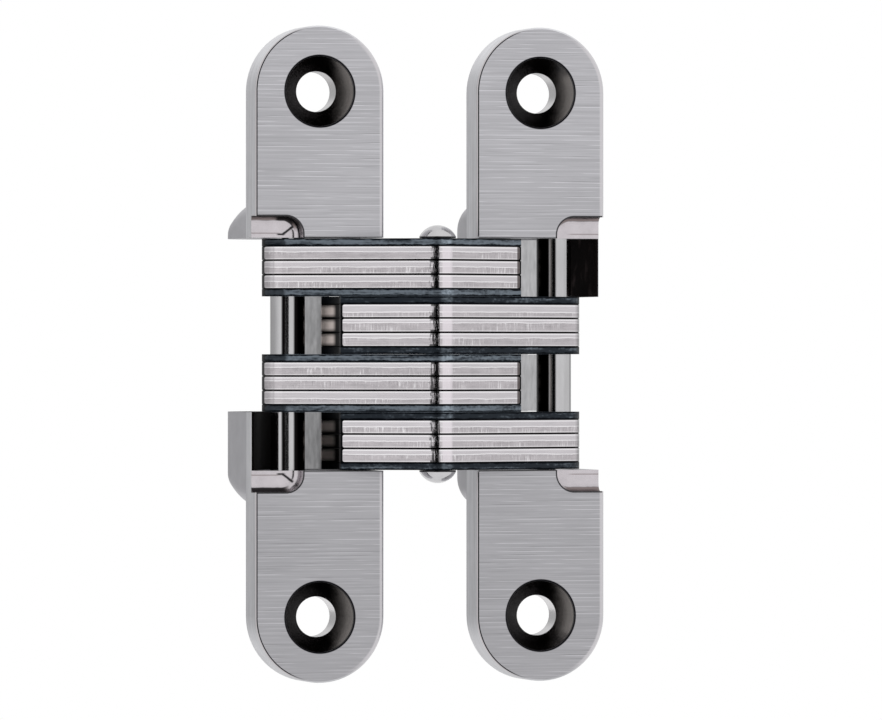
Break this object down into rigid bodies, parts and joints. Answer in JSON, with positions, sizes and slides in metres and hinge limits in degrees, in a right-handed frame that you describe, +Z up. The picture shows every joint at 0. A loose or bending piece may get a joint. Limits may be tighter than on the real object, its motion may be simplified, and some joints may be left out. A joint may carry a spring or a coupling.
{
  "type": "invisible hinge",
  "caption": "Concealed door-edge hinge: round-ended screw leaves with pockets behind them, joined by crossed packs of link plates that fold away inside, fully open.",
  "frame": {"origin": "midway between the two leaves, at half their height, in the plane of their front faces, with the hinge open at 180 degrees", "axes": "+X across from the left leaf to the right one, +Y into the leaves from their front faces, +Z up along the leaves and all hinge pins"},
  "size_m": [0.052, 0.0306, 0.0952],
  "materials": {
    "leaf_finish": "satin nickel plating on a zinc casting",
    "link_steel": "ground steel",
    "spacer_steel": "blue-black, semi-gloss",
    "pin_steel": "polished steel"
  },
  "bodies": {
    "left_leaf": {"left_leaf": "leaf_finish", "left_pivot_pin": "pin_steel"},
    "left_links": {"left_link_1": "link_steel", "left_link_2": "link_steel", "left_link_3": "link_steel", "left_link_4": "link_steel", "left_link_5": "link_steel", "left_link_6": "link_steel", "left_spacer_1": "spacer_steel", "left_spacer_2": "spacer_steel", "left_spacer_3": "spacer_steel", "left_spacer_4": "spacer_steel", "centre_pin": "pin_steel", "right_slide_pin": "pin_steel"},
    "right_links": {"right_link_1": "link_steel", "right_link_2": "link_steel", "right_link_3": "link_steel", "right_link_4": "link_steel", "right_link_5": "link_steel", "right_link_6": "link_steel", "right_spacer_1": "spacer_steel", "right_spacer_2": "spacer_steel", "right_spacer_3": "spacer_steel", "right_spacer_4": "spacer_steel", "left_slide_pin": "pin_steel"},
    "right_leaf": {"right_leaf": "leaf_finish", "right_pivot_pin": "pin_steel"}
  },
  "joints": [
    {"name": "left_pivot", "type": "hinge", "parent": "left_leaf", "child": "left_links", "pos_m": [-0.00976, 0.00951, 0], "axis": [0, 0, 1], "range_deg": [-86.8, 0]},
    {"name": "centre_pivot", "type": "hinge", "parent": "left_links", "child": "right_links", "pos_m": [0, -0.0042, 0], "axis": [0, 0, 1], "range_deg": [-6.4, 0]},
    {"name": "right_pivot", "type": "hinge", "parent": "right_links", "child": "right_leaf", "pos_m": [0.00976, 0.00951, 0], "axis": [0, 0, 1], "range_deg": [-86.8, 0]}
  ],
  "couplings": [
    {"joint": "centre_pivot", "follows": "left_pivot", "ratio": 0.073674},
    {"joint": "right_pivot", "follows": "left_pivot", "ratio": 1}
  ]
}
